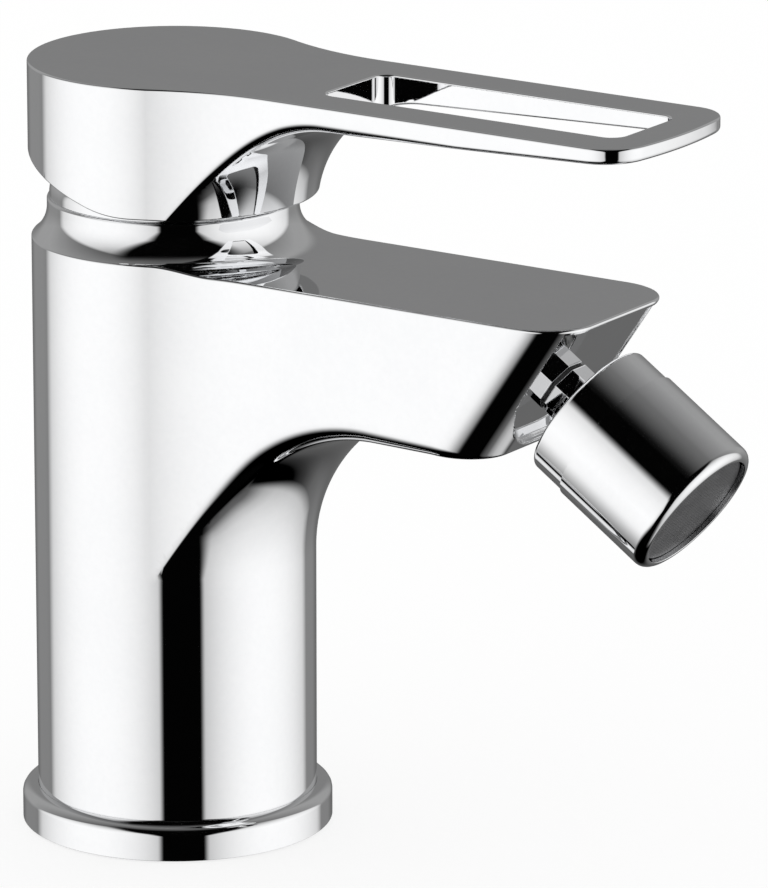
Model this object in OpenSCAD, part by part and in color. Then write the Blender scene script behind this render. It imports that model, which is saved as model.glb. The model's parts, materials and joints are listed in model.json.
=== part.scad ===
// Single-lever bidet mixer with a ball-jointed nozzle. Millimetres, +Z up,
// the spout along +X, the origin on the deck under the column's axis.

/* [Body] */
// Radius of the round column
column_r = 22.5; // [22:0.25:24]
// Height of the flat top of the spout above the deck
body_top = 95.5; // [93:0.5:100]
// Distance from the column's axis to the upper front edge of the spout
spout_reach = 84; // [80:0.5:92]
// Half of the width of the spout
spout_half_w = 17; // [16:0.25:18]
// Height of the spout from its underside to its flat top
spout_h = 22.8; // [22:0.2:24]
// Lean of the spout's end face under the upright
face_tilt = 34; // [32:0.5:38]
// Radius of the two front corners of the spout
face_corner_r = 8; // [6:0.5:10]
// Radius of the hollow between the column and each side of the spout
side_blend_r = 40; // [30:1:46]
// Radius of the hollow between the column and the underside of the spout
under_blend_r = 27.7; // [24:0.5:30]
// Least wall of the casting around its water chamber
body_wall = 3.3; // [3:0.1:3.6]
// Wall of the column around its bore
column_wall = 3; // [2.6:0.1:3.3]
// Thickness of the casting between the column's bore and the top of the spout
top_wall = 3.5; // [3:0.1:4]
// Wall between the water chamber and the recess in the end face
end_wall = 5; // [4:0.25:8]
// Distance from the column's outside to the back of the water chamber
chamber_start = 2; // [1.5:0.25:4]
// Radius of the sloped duct that leads up to the water chamber
duct_r = 3.2; // [2.8:0.1:3.4]
// Slope of that duct from the upright
duct_angle = 38; // [36:1:42]

/* [Neck] */
// Outer radius of the neck that carries the cartridge
neck_r = 20; // [19.8:0.1:20.4]
// Height of the neck above the top of the spout
neck_h = 7.5; // [7.2:0.1:8]
// Radius of the hollow foot of the neck
neck_foot_r = 6; // [5:0.25:6.5]
// Wall of the neck around its bore
neck_wall = 1.7; // [1.4:0.1:1.9]
// Step from the cap's inside to the dome that covers the neck
dome_inset = 0.8; // [0.6:0.1:1]
// Wall of the dome
dome_wall = 1.2; // [1:0.1:1.5]
// Shoulder radius of the dome
dome_shoulder_r = 4; // [3.4:0.1:4.4]
// Upright part of the dome below its shoulder
dome_side_h = 0.8; // [0.6:0.1:1]
// Width of the dome from its outside to its hole
dome_rim_w = 5.4; // [5:0.1:5.8]

/* [Base] */
// Outer radius of the base ring
ring_r = 25; // [24.8:0.1:27]
// Height of the upright wall of the base ring
ring_wall_h = 4.2; // [3.8:0.1:4.6]
// Height of the base ring at the column
ring_h = 5.8; // [5.6:0.1:6.2]
// Thickness of the ledge under the column
ledge_h = 3; // [2.6:0.1:3.4]
// Radius of the hole in the base ring
ledge_r = 16.5; // [16:0.1:17]
// Thickness of the rubber gasket under the ring
gasket_h = 1.4; // [1.2:0.1:1.6]
// Width of the ring's underside inside the gasket
gasket_in_lip = 1; // [0.8:0.1:2]
// Width of the ring's underside outside the gasket
gasket_out_lip = 1; // [0.8:0.1:3]

/* [Handle] */
// Outer radius of the round cap of the handle
cap_r = 22.9; // [22.7:0.1:24]
// Height of the skirt's lower edge above the neck's rim
cap_gap = 1; // [0.8:0.1:1.4]
// Height of the cap from the skirt's lower edge to its flat top
cap_h = 21.1; // [20.6:0.1:22.4]
// Wall of the cap's skirt
cap_wall = 2.5; // [2.2:0.1:2.6]
// Thickness of the cap's flat roof
cap_roof = 4.5; // [4.2:0.1:5]
// Distance from the axis to the lever's front edge
lever_reach = 94.5; // [90:0.5:102]
// Half of the width of the lever
lever_half_w = 16.5; // [15.5:0.25:17]
// Radius of the lever's two front corners
lever_corner_r = 7; // [6:0.5:10]
// Radius of the hollow between the cap and each side of the lever
lever_blend_r = 47; // [40:1:50]
// Radius of the hollow under the lever at the skirt
lever_under_r = 20; // [18:0.5:21]
// Depth to which that hollow cuts into the skirt
lever_under_bite = 0.3; // [0.2:0.1:0.6]
// Thickness of the lever at its front edge
lever_tip_t = 2.4; // [2.2:0.1:3]
// Rise of the lever's underside towards the front
lever_taper = 2; // [1.5:0.1:2.4]
// Start of the finger slot from the axis
slot_start = 34; // [32:0.5:38]
// Width of the lever in front of the slot
slot_front = 6.6; // [6:0.1:9]
// Half of the width of the finger slot
slot_half_w = 8.75; // [7.5:0.25:9]
// Corner radius of the finger slot
slot_corner_r = 2.5; // [1.5:0.25:4]
// Slope of the skirt's raised back edge
relief_angle = 17; // [16.5:0.25:20]
// Start of the raised back edge in front of the axis
relief_start = 3; // [2:0.25:4]
// Height of the cap's inner boss above the pivot pin
boss_rise = 7; // [6.5:0.1:8]
// Radius of the cap's inner boss
boss_r = 8.2; // [7.5:0.1:8.4]
// Thickness of the cap above the stem
socket_roof = 5.1; // [4.6:0.1:6]
// Depth of the handle screw's axis below the cap's top
screw_drop = 7.6; // [7.2:0.1:8]
// Radius of the handle screw
screw_r = 2.9; // [2.4:0.1:3]
// Length of the handle screw
screw_len = 8; // [6:0.25:12]
// Corner radius of the screw's hexagon socket
screw_key_r = 1.5; // [1.2:0.1:1.8]
// Depth of the screw's hexagon socket
screw_key_depth = 3; // [2:0.25:4]
// Wall of the tube that the handle screw runs in
screw_tube_wall = 1.3; // [1:0.1:1.4]
// Radius of the plug that closes the screw's hole
plug_r = 3.1; // [3.1:0.05:3.6]
// Length of that plug
plug_len = 2.2; // [1.6:0.1:2.4]

/* [Cartridge] */
// Outer radius of the ceramic cartridge
cart_r = 17.4; // [17.3:0.05:17.5]
// Distance of the water ports from the axis
port_pitch_r = 10; // [9.6:0.1:10.2]
// Radius of the water ports
port_r = 2.8; // [2.4:0.1:3]
// Distance between the lever's pivot pin and the stem's ball
stem_arm = 18; // [17.5:0.1:18.4]
// Width of the square stem
stem_w = 7; // [6.5:0.1:7.2]
// Radius of the pivot pin
pin_r = 1.75; // [1.5:0.05:1.9]
// Upward travel of the lever from level
lift_max = 16; // [14:0.5:16]
// Depth of the pivot pin below the neck's rim
pivot_drop = 1; // [0.6:0.1:1.4]
// Space left at each end of the pivot pin
pin_end = 1.1; // [0.8:0.1:1.6]
// Radius of the stem's ball
stem_ball_r = 3; // [2.6:0.1:3.2]
// Radius of the stem's round arm
stem_arm_r = 2.2; // [1.8:0.1:2.4]
// Radial space around the cartridge
cart_room = 0.3; // [0.2:0.05:0.4]
// Thickness of the cup's floor under the cartridge
cup_floor_t = 12; // [11.8:0.1:14]
// Height of the cup's cross channel above the cup's underside
cross_h = 6.4; // [6.2:0.05:6.6]
// Depth of the grooves for the cup's seals
groove_depth = 1.3; // [1.1:0.05:1.4]
// Height of the grooves for the cup's seals
groove_h = 1.6; // [1.5:0.05:1.7]
// Height of the lower seal above the cup's underside
low_seal_h = 1.8; // [1.4:0.1:1.9]
// Depth of the upper seal below the cup's floor
high_seal_drop = 1.5; // [1.2:0.1:1.6]
// Width of a port's seal groove around the port
port_seal_w = 1.5; // [1.3:0.05:1.7]
// Depth of a port's seal groove
port_seal_h = 1.2; // [1:0.05:1.3]
// Thickness of the cartridge's base plate
base_plate_h = 4; // [3.6:0.1:5]
// Thickness of the fixed ceramic disc
fixed_disc_h = 4; // [3.4:0.1:5]
// Thickness of the moving ceramic disc
moving_disc_h = 4; // [3.4:0.1:5]
// Wall of the moving disc around its pocket
disc_rim_w = 3; // [2.6:0.1:3.4]
// Space between the discs and the cartridge's housing
disc_room = 0.5; // [0.4:0.05:0.7]
// Floor of the disc carrier under the stem's ball
carrier_floor_t = 0.5; // [0.4:0.05:1]
// Space between that floor and the stem's ball
ball_room = 0.5; // [0.3:0.05:0.6]
// Widening of the carrier's mouth above the stem's ball
carrier_mouth = 2; // [1.5:0.1:2.4]
// Wall of the cartridge's housing
housing_wall = 2.8; // [2.6:0.1:3]
// Thickness of the housing's shoulder
housing_web = 2.8; // [2.4:0.1:3.2]
// Height of the housing's shoulder above the top of the spout
shoulder_h = 0.5; // [0.3:0.1:1]
// Radius of the housing's neck
housing_neck_r = 13.2; // [12.9:0.1:13.4]
// Wall of the housing's neck
housing_neck_wall = 1.3; // [1.1:0.1:1.5]
// Height of the housing's neck above the neck of the body
housing_rise = 1; // [0.6:0.1:1.2]
// Height of the stem's holder above the neck of the body
holder_rise = 1.5; // [1:0.1:1.7]
// Thickness of the holder's flange
holder_flange_h = 3.6; // [3:0.1:4]
// Space on each side of the stem in its holder
stem_room = 0.25; // [0.2:0.05:0.4]
// Space behind the stem in its holder
slot_back_room = 1.5; // [1.4:0.1:2]
// Space in front of the stem in its holder
slot_front_room = 4.5; // [4:0.1:4.8]
// Width of the spanner slots in the cartridge's nut
nut_key_w = 3; // [2.4:0.1:4]
// Depth of the spanner slots in the cartridge's nut
nut_key_h = 2; // [1.5:0.1:3]

/* [Inlets] */
// Wall radius of the two inlet threads, M10 by 1
inlet_r = 4.5; // [4.4:0.05:4.6]
// Depth of the two inlet threads
inlet_depth = 10; // [8:0.5:11]
// Wall radius of the stud thread, M8
stud_r = 3.4; // [3.3:0.05:3.5]
// Depth of the stud thread
stud_depth = 14; // [12:0.5:15]
// Outer radius of the riser tubes
riser_r = 4; // [3.9:0.05:4.1]
// Wall of the riser tubes
riser_wall = 0.9; // [0.8:0.05:1]
// Depth of the sockets that the riser tubes stand in
riser_socket_h = 3; // [2.5:0.1:3.5]
// Height of the inlet block above the deck
block_h = 18; // [17.5:0.5:24]

/* [Nozzle] */
// Distance of the nozzle's axis below the spout's upper front edge, along the end face
nozzle_drop = 16.9; // [16:0.1:17.4]
// Distance from the end face to the nozzle's upper rim
nozzle_gap = 3.6; // [3.4:0.1:4.5]
// Length of the nozzle
nozzle_len = 24; // [23.6:0.1:26]
// Radius of the nozzle's upper sleeve
sleeve_r = 11.75; // [11.6:0.05:11.9]
// Length of the nozzle's upper sleeve
sleeve_len = 6.4; // [6:0.1:6.8]
// Radius of the nozzle's lower shell
shell_r = 12.05; // [12:0.05:12.3]
// Radius of the water outlet
outlet_r = 10.25; // [10.2:0.05:10.4]
// Depth of the jet former inside the outlet
outlet_recess = 1.5; // [1:0.1:2]
// Radius of the ball joint
ball_r = 7; // [6.9:0.05:7.1]
// Corner radius of the spanner flats on the ball's stem
flats_r = 4.8; // [4.6:0.1:5]
// Number of spanner flats
flats = 8; // [6, 8, 12]
// Depth of the recess in the spout's end face
recess_depth = 1.8; // [1.5:0.1:2.2]
// Half of the width of the recess in the spout's end face
recess_half_w = 12.3; // [11.8:0.1:12.6]
// Lower corner radius of the recess in the spout's end face
recess_corner_r = 10; // [8:0.25:10.2]
// Thickness of the lips above and below the recess
recess_lip = 1; // [0.8:0.1:1.2]
// Radius of the thread that holds the ball's stem
thread_r = 3.9; // [3.7:0.05:4]
// Length of that thread
thread_len = 8.5; // [8:0.25:9]
// Thickness of the washer under the spanner flats
washer_h = 0.5; // [0.4:0.1:0.8]
// Step from the flats' corners to the washer's outside
washer_inset = 0.4; // [0.2:0.05:0.5]
// Radius of the waterway through the ball
stem_bore_r = 2.2; // [1.8:0.1:2.4]
// Radius of the neck behind the ball
stem_neck_r = 3.3; // [3:0.1:3.6]
// Chamfer at the end of the spanner flats
flats_chamfer = 0.7; // [0.4:0.1:1]
// Space between the spanner flats and the nozzle's upper rim
flats_room = 0.2; // [0.1:0.05:0.6]
// Distance from the nozzle's upper rim to the ball's centre
ball_depth = 8; // [7.8:0.05:8.2]
// Wall of the ball's upper seat
seat_wall = 1.3; // [1.2:0.05:1.4]
// Start of the upper seat, as an angle from the ball's neck
seat_top_angle = 52; // [50:1:58]
// End of the upper seat, as an angle from the ball's neck
seat_low_angle = 76; // [72:1:80]
// Distance from the ball's centre to the lower seat's upper face
seat_split = 1.3; // [1:0.1:2]
// Radius of the hole in the lower seat
lower_seat_hole_r = 4; // [3.6:0.1:4.4]
// Radius of the nozzle's mouth around the ball's neck
mouth_r = 8; // [7.9:0.05:8.2]
// Wall of the spigot that the lower shell screws on to
spigot_wall = 0.95; // [0.8:0.05:1]
// Length of that spigot
spigot_len = 6.5; // [5.5:0.1:8]
// Thickness of the web under the lower seat
web_h = 1.5; // [1.2:0.1:1.8]
// Radius of the hole in that web
web_hole_r = 6.5; // [6:0.1:7]
// Thickness of the washer behind the jet former
jet_washer_h = 1.2; // [1:0.1:1.4]
// Width of the jet former's rim around its screen
jet_rim_w = 0.9; // [0.8:0.1:1.2]
// Width of the ledge that the screen lies on
screen_ledge_w = 1; // [0.7:0.1:1.4]
// Thickness of the screen
screen_h = 0.7; // [0.5:0.1:0.9]
// Radius of the screen's holes
screen_hole_r = 0.7; // [0.5:0.05:0.8]
// Distance between the screen's rings of holes
screen_pitch = 2; // [1.8:0.05:2.05]
// Number of the screen's rings of holes
screen_rings = 4; // [2, 3, 4]
// Edge radius of the nozzle's upper rim
sleeve_edge_r = 1.5; // [1:0.1:2]
// Edge radius of the nozzle's lower rim
outlet_edge_r = 1.6; // [1:0.1:1.7]

/* [Clearances] */
// Radial clearance of parts that are fixed in a bore
fixed_gap = 0.1; // [0.05:0.05:0.15]
// Radial clearance of the pivot pin
pin_gap = 0.05; // [0.03:0.01:0.08]
// Clearance of parts that turn or slide past each other
moving_gap = 0.3; // [0.25:0.05:0.4]
// Clearance of a seal in its groove
seal_gap = 0.02; // [0.01:0.01:0.04]
// Depth to which the side hollows cut into the round column and cap
blend_bite = 0.01; // [0.005:0.005:0.05]

/* [Hidden] */
$fn = 96;
over = 1;
chrome = [0.8, 0.8, 0.82];
brass = [0.78, 0.62, 0.32];
steel = [0.62, 0.62, 0.64];
rubber = [0.08, 0.08, 0.08];
ceramic = [0.93, 0.92, 0.88];
white_plastic = [0.88, 0.88, 0.86];
grey_plastic = [0.36, 0.36, 0.37];

spout_low = body_top - spout_h;
under_z = spout_low - under_blend_r;
neck_top = body_top + neck_h;
bore_r = column_r - column_wall;
bore_top = body_top - top_wall;
neck_bore_r = neck_r - neck_wall;

insert_r = bore_r - fixed_gap;
insert_spigot_r = ledge_r - fixed_gap;
inlet_angle = 120;
riser_bore_r = riser_r - riser_wall;

pivot_z = neck_top - pivot_drop;
ball_z = pivot_z - stem_arm;
travel = stem_arm * lift_max * PI / 180;
disc_offset = travel / 2;
housing_in_r = cart_r - housing_wall;
fixed_disc_r = housing_in_r - disc_room;
moving_disc_r = housing_in_r - disc_offset - disc_room;
carrier_low = ball_z - stem_ball_r - ball_room - carrier_floor_t;
moving_low = carrier_low - moving_disc_h;
disc_low = moving_low - fixed_disc_h;
seat_floor = disc_low - base_plate_h;
seat_low = seat_floor - cup_floor_t;
cross_z = seat_low + cross_h;
cup_r = cart_r + cart_room;
port_seal_r = port_r + port_seal_w;

shoulder_z = body_top + shoulder_h;
housing_top = neck_top + housing_rise;
holder_r = housing_neck_r - housing_neck_wall - moving_gap;
holder_flange_r = housing_in_r - moving_gap;
holder_top = neck_top + holder_rise;
holder_flange_top = shoulder_z - housing_web - fixed_gap;
holder_low = holder_flange_top - holder_flange_h;
carrier_top = holder_low - moving_gap;
holder_slot_w = stem_w + 2 * stem_room;
holder_slot_back = stem_w / 2 + slot_back_room;
holder_slot_front = stem_w / 2 + slot_front_room;
pin_len = 2 * (holder_r - pin_end);
nut_top = neck_top - fixed_gap;
nut_r = neck_bore_r - fixed_gap;
nut_hole_r = housing_neck_r + cart_room;

skirt_low = neck_top + cap_gap;
cap_top = skirt_low + cap_h;
cavity_r = cap_r - cap_wall;
dome_r = cavity_r - dome_inset;
dome_hole_r = dome_r - dome_rim_w;
cavity_top = cap_top - cap_roof;
stem_top = cap_top - socket_roof;
boss_low = pivot_z + boss_rise;
screw_z = cap_top - screw_drop;
screw_tube_r = screw_r + screw_tube_wall;
slot_end = lever_reach - slot_front;

ball_s = nozzle_gap + ball_depth;
seat_in_r = ball_r + moving_gap;
seat_out_r = seat_in_r + seat_wall;
socket_r = seat_out_r + moving_gap;
spigot_bore_r = socket_r + fixed_gap;
spigot_r = spigot_bore_r + spigot_wall;
sleeve_s = nozzle_gap + sleeve_len;
spigot_s = sleeve_s + spigot_len;
lower_seat_s = ball_s + seat_split;
lower_seat_end = ball_s + seat_in_r + fixed_gap;
lower_seat_r = spigot_bore_r - moving_gap;
web_s = lower_seat_end + fixed_gap;
chamber_s = web_s + web_h;
outlet_s = nozzle_gap + nozzle_len;
jet_end = outlet_s - outlet_recess;
jet_r = outlet_r - fixed_gap;
jet_low = chamber_s + jet_washer_h;
screen_r = jet_r - jet_rim_w;

// Places a shape on the nozzle's axis, its own +Z running out of the spout from the end face
module on_nozzle_axis() {
  translate([spout_reach - nozzle_drop * sin(face_tilt), 0, body_top - nozzle_drop * cos(face_tilt)])
    rotate([0, 90 + face_tilt, 0]) children();
}

// Outline of a round head that runs out into a straight arm along +X
module arm_plan(head_r, half_w, reach, blend_r) {
  blend_x = sqrt(pow(head_r + blend_r - blend_bite, 2) - pow(half_w + blend_r, 2));
  difference() {
    union() {
      circle(r = head_r);
      translate([0, -half_w]) square([reach, 2 * half_w]);
      polygon([[0, 0], [blend_x, -half_w - blend_r], [blend_x, half_w + blend_r]]);
    }
    for (side = [-1, 1]) translate([blend_x, side * (half_w + blend_r)]) circle(r = blend_r);
  }
}

// Half-plane behind the line x = front, with two round corners of the arm's width
module rounded_front(front, half_w, corner_r, back) {
  translate([-back, -back]) square([back + front - corner_r, 2 * back]);
  translate([front - 2 * corner_r, corner_r - half_w]) square([2 * corner_r, 2 * (half_w - corner_r)]);
  for (side = [-1, 1]) translate([front - corner_r, side * (half_w - corner_r)]) circle(r = corner_r);
}

// Rectangle with four round corners
module rounded_slot(low, high, half_w, corner_r) {
  translate([low, corner_r - half_w]) square([high - low, 2 * (half_w - corner_r)]);
  translate([low + corner_r, -half_w]) square([high - low - 2 * corner_r, 2 * half_w]);
  for (x = [low + corner_r, high - corner_r], side = [-1, 1])
    translate([x, side * (half_w - corner_r)]) circle(r = corner_r);
}

// Round tube
module tube(outer_r, inner_r, h) {
  difference() {
    cylinder(r = outer_r, h = h);
    translate([0, 0, -over]) cylinder(r = inner_r, h = h + 2 * over);
  }
}

// Ring of round section
module o_ring(centre_r, section_r) {
  rotate_extrude() translate([centre_r, 0]) circle(r = section_r);
}

// Three positions of the water ports: the outlet in front and the two inlets behind
module at_ports(angles) {
  for (a = angles) rotate([0, 0, a]) translate([port_pitch_r, 0, 0]) children();
}

module base_ring() {
  rise = ring_h - ring_wall_h;
  edge = ring_r - column_r - fixed_gap;
  round_r = (pow(edge, 2) + pow(rise, 2)) / (2 * rise);
  color(chrome) rotate_extrude() difference() {
    union() {
      translate([ledge_r, 0]) square([ring_r - ledge_r, ledge_h]);
      translate([column_r + fixed_gap, 0]) square([edge, ring_wall_h]);
      intersection() {
        translate([column_r + fixed_gap, ledge_h]) square([edge, ring_h - ledge_h]);
        translate([column_r + fixed_gap, ring_h - round_r]) circle(r = round_r);
      }
    }
    translate([ledge_r + gasket_in_lip, -over])
      square([ring_r - gasket_out_lip - ledge_r - gasket_in_lip, gasket_h + over]);
  }
}

module base_gasket() {
  color(rubber) tube(ring_r - gasket_out_lip - fixed_gap, ledge_r + gasket_in_lip + fixed_gap, gasket_h);
}

module body_outside() {
  difference() {
    translate([0, 0, ledge_h]) linear_extrude(neck_top - ledge_h)
      arm_plan(column_r, spout_half_w, spout_reach + over, side_blend_r);
    rotate_extrude() difference() {
      translate([column_r, 0]) square([2 * spout_reach, spout_low]);
      difference() {
        translate([column_r - over, under_z]) square([under_blend_r + over, under_blend_r + over]);
        translate([column_r + under_blend_r, under_z]) circle(r = under_blend_r);
      }
    }
    rotate_extrude() difference() {
      translate([neck_r, body_top]) square([2 * spout_reach, neck_h + over]);
      difference() {
        translate([neck_r - over, body_top - over]) square([neck_foot_r + over, neck_foot_r + over]);
        translate([neck_r + neck_foot_r, body_top + neck_foot_r]) circle(r = neck_foot_r);
      }
    }
    difference() {
      translate([column_r, -spout_half_w - over, under_z])
        cube([spout_reach, 2 * (spout_half_w + over), under_blend_r + spout_h + over]);
      translate([spout_reach, 0, body_top]) rotate([0, face_tilt, 0])
        linear_extrude(4 * spout_reach, center = true)
          rounded_front(0, spout_half_w, face_corner_r, 2 * spout_reach);
    }
  }
}

module end_recess() {
  high = spout_h - recess_lip;
  inset = recess_half_w - recess_corner_r;
  intersection() {
    on_nozzle_axis() translate([-spout_reach, -spout_reach, -recess_depth])
      cube([2 * spout_reach, 2 * spout_reach, spout_reach]);
    translate([0, 0, spout_low]) rotate([90, 0, 90]) linear_extrude(2 * spout_reach) {
      translate([-recess_half_w, recess_lip + recess_corner_r])
        square([2 * recess_half_w, high - recess_lip - recess_corner_r]);
      translate([-inset, recess_lip]) square([2 * inset, high - recess_lip]);
      for (side = [-1, 1]) translate([side * inset, recess_lip + recess_corner_r]) circle(r = recess_corner_r);
    }
  }
}

module water_chamber() {
  length = 2 * spout_reach;
  front_wall = recess_depth + end_wall;
  rise = spout_low + body_wall + duct_r - cross_z;
  intersection() {
    translate([column_r + chamber_start, body_wall - spout_half_w, spout_low + body_wall])
      cube([spout_reach, 2 * (spout_half_w - body_wall), spout_h - 2 * body_wall]);
    on_nozzle_axis() translate([-length, -length, -length - front_wall]) cube([2 * length, 2 * length, length]);
  }
  translate([bore_r, 0, cross_z]) rotate([0, duct_angle, 0]) translate([0, 0, -duct_r])
    cylinder(r = duct_r, h = duct_r + rise / cos(duct_angle));
}

module body_shell() {
  color(chrome) difference() {
    body_outside();
    translate([0, 0, ledge_h - over]) cylinder(r = bore_r, h = bore_top - ledge_h + over);
    translate([0, 0, bore_top - over]) cylinder(r = neck_bore_r, h = neck_top - bore_top + 2 * over);
    water_chamber();
    end_recess();
    on_nozzle_axis() translate([0, 0, -recess_depth - thread_len])
      cylinder(r = thread_r + fixed_gap, h = thread_len + over);
  }
}

module inlet_block() {
  color(brass) difference() {
    union() {
      cylinder(r = insert_spigot_r, h = ledge_h + over);
      translate([0, 0, ledge_h]) cylinder(r = insert_r, h = block_h - ledge_h);
    }
    translate([0, 0, -over]) cylinder(r = stud_r, h = stud_depth + over);
    at_ports([inlet_angle, -inlet_angle]) {
      translate([0, 0, -over]) cylinder(r = inlet_r, h = inlet_depth + over);
      translate([0, 0, inlet_depth - over]) cylinder(r = riser_bore_r, h = block_h);
      translate([0, 0, block_h - riser_socket_h])
        cylinder(r = riser_r + fixed_gap, h = riser_socket_h + over);
    }
  }
}

module riser(angle) {
  low = block_h - riser_socket_h;
  color(brass) at_ports([angle]) translate([0, 0, low])
    tube(riser_r, riser_bore_r, seat_low + riser_socket_h - low);
}

module riser_cold() {
  riser(-inlet_angle);
}

module riser_hot() {
  riser(inlet_angle);
}

// Heights of the two seals on each side of the cup's cross channel
function cup_seal_heights() = [seat_low + low_seal_h, seat_floor - high_seal_drop];

module cartridge_cup() {
  color(brass) difference() {
    translate([0, 0, seat_low]) cylinder(r = insert_r, h = bore_top - seat_low);
    translate([0, 0, seat_floor]) cylinder(r = cup_r, h = bore_top - seat_floor + over);
    for (z = cup_seal_heights()) translate([0, 0, z - groove_h / 2])
      tube(insert_r + over, insert_r - groove_depth, groove_h);
    at_ports([inlet_angle, -inlet_angle]) translate([0, 0, seat_low - over]) {
      cylinder(r = port_r, h = seat_floor - seat_low + 2 * over);
      cylinder(r = riser_r + fixed_gap, h = riser_socket_h + over);
    }
    at_ports([0]) {
      translate([0, 0, cross_z]) cylinder(r = port_r, h = seat_floor - cross_z + over);
      translate([-port_r, 0, cross_z]) rotate([0, 90, 0]) cylinder(r = port_r, h = insert_r);
    }
  }
}

module cup_seals() {
  low = insert_r - groove_depth + seal_gap;
  section = (bore_r - seal_gap - low) / 2;
  color(rubber) for (z = cup_seal_heights()) translate([0, 0, z]) o_ring(low + section, section);
}

module port_seals() {
  section = port_seal_h / 2 - seal_gap;
  color(rubber) at_ports([0, inlet_angle, -inlet_angle]) translate([0, 0, seat_floor + port_seal_h / 2])
    o_ring(port_seal_r - section - seal_gap, section);
}

module cartridge_base() {
  color(white_plastic) difference() {
    translate([0, 0, seat_floor]) cylinder(r = cart_r, h = base_plate_h);
    at_ports([0, inlet_angle, -inlet_angle]) translate([0, 0, seat_floor - over]) {
      cylinder(r = port_r, h = base_plate_h + 2 * over);
      cylinder(r = port_seal_r, h = port_seal_h + over);
    }
  }
}

module fixed_disc() {
  color(ceramic) difference() {
    translate([0, 0, disc_low]) cylinder(r = fixed_disc_r, h = fixed_disc_h);
    at_ports([0, inlet_angle, -inlet_angle]) translate([0, 0, disc_low - over])
      cylinder(r = port_r, h = fixed_disc_h + 2 * over);
  }
}

module moving_disc() {
  pocket_r = moving_disc_r - disc_rim_w;
  color(ceramic) translate([-disc_offset, 0, moving_low]) difference() {
    cylinder(r = moving_disc_r, h = moving_disc_h);
    translate([0, 0, -over]) cylinder(r = pocket_r, h = moving_disc_h / 2 + over);
  }
}

module disc_carrier() {
  grip = stem_ball_r + moving_gap / 2;
  mouth = stem_ball_r + carrier_mouth;
  grip_top = ball_z + stem_ball_r;
  color(grey_plastic) difference() {
    translate([-disc_offset, 0, carrier_low]) cylinder(r = moving_disc_r, h = carrier_top - carrier_low);
    translate([-grip, -grip, carrier_low + carrier_floor_t]) cube([2 * grip, 2 * grip, carrier_top]);
    translate([-mouth, -mouth, grip_top]) cube([2 * mouth, 2 * mouth, carrier_top]);
  }
}

module cartridge_housing() {
  color(white_plastic) difference() {
    union() {
      translate([0, 0, disc_low]) cylinder(r = cart_r, h = shoulder_z - disc_low);
      translate([0, 0, shoulder_z - over]) cylinder(r = housing_neck_r, h = housing_top - shoulder_z + over);
    }
    translate([0, 0, disc_low - over]) cylinder(r = housing_in_r, h = shoulder_z - housing_web - disc_low + over);
    translate([0, 0, disc_low]) cylinder(r = holder_r + moving_gap, h = 2 * stem_arm);
  }
}

module stem_holder() {
  color(grey_plastic) difference() {
    union() {
      translate([0, 0, holder_low]) cylinder(r = holder_flange_r, h = holder_flange_h);
      translate([0, 0, holder_low]) cylinder(r = holder_r, h = holder_top - holder_low);
    }
    translate([-holder_slot_back, -holder_slot_w / 2, holder_low - over])
      cube([holder_slot_back + holder_slot_front, holder_slot_w, holder_top - holder_low + 2 * over]);
    translate([0, 0, pivot_z]) rotate([90, 0, 0]) cylinder(r = pin_r + pin_gap, h = 2 * neck_r, center = true);
  }
}

module pivot_pin() {
  color(steel) translate([0, 0, pivot_z]) rotate([90, 0, 0]) cylinder(r = pin_r, h = pin_len, center = true);
}

module stem() {
  bar_low = pivot_z - stem_w;
  color(brass) difference() {
    union() {
      translate([-stem_w / 2, -stem_w / 2, bar_low]) cube([stem_w, stem_w, stem_top - bar_low]);
      translate([0, 0, ball_z]) cylinder(r = stem_arm_r, h = bar_low - ball_z + over);
      translate([0, 0, ball_z]) sphere(r = stem_ball_r);
    }
    translate([0, 0, pivot_z]) rotate([90, 0, 0]) cylinder(r = pin_r + pin_gap, h = 2 * stem_w, center = true);
  }
}

module cartridge_nut() {
  color(brass) difference() {
    translate([0, 0, shoulder_z]) tube(nut_r, nut_hole_r, nut_top - shoulder_z);
    for (a = [0, 90]) rotate([0, 0, a]) translate([-nut_r - over, -nut_key_w / 2, nut_top - nut_key_h])
      cube([2 * (nut_r + over), nut_key_w, nut_key_h + over]);
  }
}

// Half section of the dome or of its hollow, seen from the axis outwards
module dome_section(outer_r, shoulder_r, side_h) {
  square([outer_r, side_h]);
  square([outer_r - shoulder_r, side_h + shoulder_r]);
  intersection() {
    translate([outer_r - shoulder_r, side_h]) circle(r = shoulder_r);
    square([outer_r, side_h + shoulder_r]);
  }
}

module cover_dome() {
  color(chrome) translate([0, 0, neck_top]) rotate_extrude() difference() {
    dome_section(dome_r, dome_shoulder_r, dome_side_h);
    translate([0, -over]) dome_section(dome_r - dome_wall, dome_shoulder_r - dome_wall, dome_side_h + over);
    translate([0, -over]) square([dome_hole_r, 4 * dome_shoulder_r]);
  }
}

// Section of the space under the lever: a sloped underside that curves down into the skirt
module under_lever_section() {
  far = 2 * lever_reach;
  slope = tan(lever_taper);
  line_0 = cap_top - lever_tip_t - slope * lever_reach;
  centre_x = cap_r + lever_under_r - lever_under_bite;
  centre_z = line_0 + slope * centre_x - lever_under_r / cos(lever_taper);
  touch_x = centre_x - lever_under_r * sin(lever_taper);
  touch_z = centre_z + lever_under_r * cos(lever_taper);
  difference() {
    polygon([[cap_r, skirt_low - over], [far, skirt_low - over], [far, line_0 + slope * far], [cap_r, line_0 + slope * cap_r]]);
    difference() {
      polygon([[cap_r - over, centre_z], [centre_x, centre_z], [touch_x, touch_z], [cap_r - over, line_0 + slope * (cap_r - over)]]);
      translate([centre_x, centre_z]) circle(r = lever_under_r);
    }
  }
}

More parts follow.
